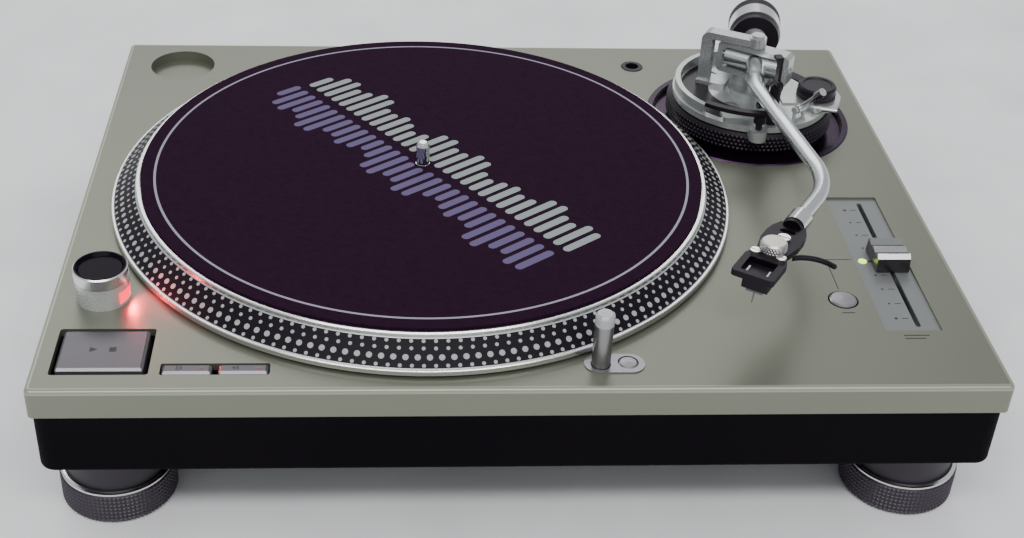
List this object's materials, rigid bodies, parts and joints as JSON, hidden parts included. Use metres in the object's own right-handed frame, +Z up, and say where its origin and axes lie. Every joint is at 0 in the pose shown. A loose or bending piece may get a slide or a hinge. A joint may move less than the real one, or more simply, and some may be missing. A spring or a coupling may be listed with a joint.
{
  "type": "direct-drive turntable",
  "caption": "Direct-drive record player with a metal deck, strobe-edged platter, slipmat, S-shaped tonearm, pitch slider and isolating feet.",
  "frame": {"origin": "on the table, below the middle of the cabinet", "axes": "+X to the right of the player, +Y to its back, +Z up"},
  "size_m": [0.453, 0.353, 0.1512],
  "materials": {
    "deck_paint": "satin metallic paint",
    "black_rubber": "matt",
    "grey_board": "cast",
    "screw_steel": "bright",
    "copper_coil": "enamelled",
    "bright_steel": "polished",
    "green_board": "matt",
    "transformer_steel": "matt",
    "polished_metal": "turned and polished",
    "red_window": "clear red",
    "black_plastic": "satin",
    "control_silver": "satin",
    "green_lamp": "lit",
    "cast_platter": "turned",
    "slipmat_felt": "felt",
    "clear_lens": "frosted",
    "arm_base_paint": "satin",
    "arm_tube_silver": "satin",
    "weight_metal": "turned",
    "black_metal": "satin"
  },
  "bodies": {
    "chassis": {"cabinet": "deck_paint", "rubber_base": "black_rubber", "inner_chassis": "grey_board", "base_screws": "screw_steel", "motor_stator": "copper_coil", "spindle_bearing": "bright_steel", "circuit_board": "green_board", "transformer": "transformer_steel", "strobe_tower": "polished_metal", "strobe_window": "red_window", "switch_housing": "black_plastic", "pitch_panel": "control_silver", "pitch_potentiometer": "black_plastic", "pitch_lamp": "green_lamp", "target_light_bezel": "control_silver", "arm_well_ring": "black_plastic", "headshell_socket": "black_plastic", "hinge_sockets": "black_plastic", "cord_glands": "black_plastic"},
    "platter": {"platter": "cast_platter", "rotor_magnet": "transformer_steel", "slipmat": "slipmat_felt", "spindle": "bright_steel"},
    "power_knob": {"power_knob": "polished_metal"},
    "start_stop_button": {"start_stop_button": "control_silver"},
    "speed_33_button": {"speed_33_button": "control_silver"},
    "speed_45_button": {"speed_45_button": "control_silver"},
    "target_light": {"target_light_tube": "polished_metal", "target_light_lens": "clear_lens"},
    "target_light_button": {"target_light_button": "control_silver"},
    "pitch_knob": {"pitch_knob": "control_silver"},
    "reset_button": {"reset_button": "control_silver"},
    "height_ring": {"height_ring": "black_plastic"},
    "arm_base": {"arm_base": "arm_base_paint", "pivot_bridge": "arm_base_paint", "arm_rest": "polished_metal"},
    "arm_clip": {"arm_clip": "black_plastic"},
    "lift_platform": {"lift_platform": "black_plastic"},
    "cue_lever": {"cue_lever": "black_plastic"},
    "lock_lever": {"lock_lever": "black_plastic"},
    "anti_skate_dial": {"anti_skate_dial": "black_plastic"},
    "gimbal": {"gimbal_ring": "arm_base_paint", "gimbal_pivots": "bright_steel"},
    "arm": {"pivot_block": "bright_steel", "arm_tube": "arm_tube_silver", "rear_stub": "arm_tube_silver", "headshell": "black_metal", "finger_lift": "black_metal", "headshell_screws": "screw_steel", "shell_weight": "screw_steel", "cartridge": "black_metal", "stylus": "black_metal"},
    "lock_collar": {"lock_collar": "bright_steel"},
    "weight_sleeve": {"weight_sleeve": "bright_steel"},
    "counterweight": {"counterweight": "weight_metal"},
    "pressure_dial": {"pressure_dial": "black_plastic"},
    "foot_front_left": {"foot_front_left": "black_rubber"},
    "foot_front_right": {"foot_front_right": "black_rubber"},
    "foot_rear_left": {"foot_rear_left": "black_rubber"},
    "foot_rear_right": {"foot_rear_right": "black_rubber"}
  },
  "joints": [
    {"name": "platter_spin", "type": "hinge", "parent": "chassis", "child": "platter", "pos_m": [-0.0445, -0.0025, 0.092], "axis": [0, 0, -1], "continuous": true},
    {"name": "power_knob_turn", "type": "hinge", "parent": "chassis", "child": "power_knob", "pos_m": [-0.2015, -0.1025, 0.092], "axis": [0, 0, 1], "range_deg": [0, 45]},
    {"name": "start_stop_press", "type": "slide", "parent": "chassis", "child": "start_stop_button", "axis": [0, 0, -1], "range_m": [0, 0.002], "stiffness_N_per_m": 300},
    {"name": "speed_33_press", "type": "slide", "parent": "chassis", "child": "speed_33_button", "axis": [0, 0, -1], "range_m": [0, 0.0015], "stiffness_N_per_m": 300},
    {"name": "speed_45_press", "type": "slide", "parent": "chassis", "child": "speed_45_button", "axis": [0, 0, -1], "range_m": [0, 0.0015], "stiffness_N_per_m": 300},
    {"name": "target_light_pop", "type": "slide", "parent": "chassis", "child": "target_light", "axis": [0, 0, 1], "range_m": [-0.024, 0]},
    {"name": "target_light_press", "type": "slide", "parent": "chassis", "child": "target_light_button", "axis": [0, 0, -1], "range_m": [0, 0.0015], "stiffness_N_per_m": 300},
    {"name": "pitch_slide", "type": "slide", "parent": "chassis", "child": "pitch_knob", "axis": [0, 1, 0], "range_m": [-0.05, 0.05]},
    {"name": "reset_press", "type": "slide", "parent": "chassis", "child": "reset_button", "axis": [0, 0, -1], "range_m": [0, 0.0015], "stiffness_N_per_m": 300},
    {"name": "height_ring_turn", "type": "hinge", "parent": "chassis", "child": "height_ring", "pos_m": [0.15222, 0.08426, 0.092], "axis": [0, 0, 1], "range_deg": [0, 180]},
    {"name": "arm_height", "type": "slide", "parent": "chassis", "child": "arm_base", "axis": [0, 0, 1], "range_m": [0, 0.006]},
    {"name": "lock_lever_turn", "type": "hinge", "parent": "arm_base", "child": "lock_lever", "pos_m": [0.18531, 0.0584, 0.109], "axis": [0, 0, 1], "range_deg": [-25, 35]},
    {"name": "anti_skate_turn", "type": "hinge", "parent": "arm_base", "child": "anti_skate_dial", "pos_m": [0.18972, 0.07676, 0.109], "axis": [0, 0, 1], "range_deg": [0, 270]},
    {"name": "cue_lever_lower", "type": "hinge", "parent": "arm_base", "child": "cue_lever", "pos_m": [0.17401, 0.05313, 0.1135], "axis": [0.8192, 0.5736, 0], "range_deg": [0, 45]},
    {"name": "lift_platform_drop", "type": "slide", "parent": "arm_base", "child": "lift_platform", "axis": [0, 0, -1], "range_m": [0, 0.004]},
    {"name": "arm_clip_close", "type": "hinge", "parent": "arm_base", "child": "arm_clip", "pos_m": [0.1558, 0.04416, 0.13518], "axis": [-0.134, 0.991, 0], "range_deg": [-90, 0]},
    {"name": "arm_swing", "type": "hinge", "parent": "arm_base", "child": "gimbal", "pos_m": [0.15222, 0.08426, 0.128], "axis": [0, 0, -1], "range_deg": [0, 42]},
    {"name": "arm_tilt", "type": "hinge", "parent": "gimbal", "child": "arm", "pos_m": [0.15222, 0.08426, 0.128], "axis": [-0.8339, 0.5519, 0], "range_deg": [-1.5, 7]},
    {"name": "lock_collar_turn", "type": "hinge", "parent": "arm", "child": "lock_collar", "pos_m": [0.13232, -0.1019, 0.13148], "axis": [-0.5518, -0.8337, 0.0209], "range_deg": [0, 60]},
    {"name": "counterweight_turn", "type": "hinge", "parent": "weight_sleeve", "child": "counterweight", "pos_m": [0.15222, 0.08426, 0.128], "axis": [0.1993, 0.9798, -0.0194], "range_deg": [-360, 360]},
    {"name": "counterweight_travel", "type": "slide", "parent": "arm", "child": "weight_sleeve", "axis": [0.1993, 0.9798, -0.0194], "range_m": [-0.004, 0.004]},
    {"name": "pressure_dial_turn", "type": "hinge", "parent": "counterweight", "child": "pressure_dial", "pos_m": [0.15222, 0.08426, 0.128], "axis": [0.1993, 0.9798, -0.0194], "range_deg": [-180, 180]},
    {"name": "foot_front_left_turn", "type": "hinge", "parent": "chassis", "child": "foot_front_left", "pos_m": [-0.1975, -0.1365, 0], "axis": [0, 0, 1], "range_deg": [-180, 180]},
    {"name": "foot_front_right_turn", "type": "hinge", "parent": "chassis", "child": "foot_front_right", "pos_m": [0.1975, -0.1365, 0], "axis": [0, 0, 1], "range_deg": [-180, 180]},
    {"name": "foot_rear_left_turn", "type": "hinge", "parent": "chassis", "child": "foot_rear_left", "pos_m": [-0.1975, 0.1365, 0], "axis": [0, 0, 1], "range_deg": [-180, 180]},
    {"name": "foot_rear_right_turn", "type": "hinge", "parent": "chassis", "child": "foot_rear_right", "pos_m": [0.1975, 0.1365, 0], "axis": [0, 0, 1], "range_deg": [-180, 180]}
  ],
  "couplings": [
    {"joint": "height_ring_turn", "follows": "arm_height", "rad_per_m": 523.6},
    {"joint": "cue_lever_lower", "follows": "lift_platform_drop", "rad_per_m": 196.35},
    {"joint": "counterweight_turn", "follows": "counterweight_travel", "rad_per_m": 1570.8}
  ]
}
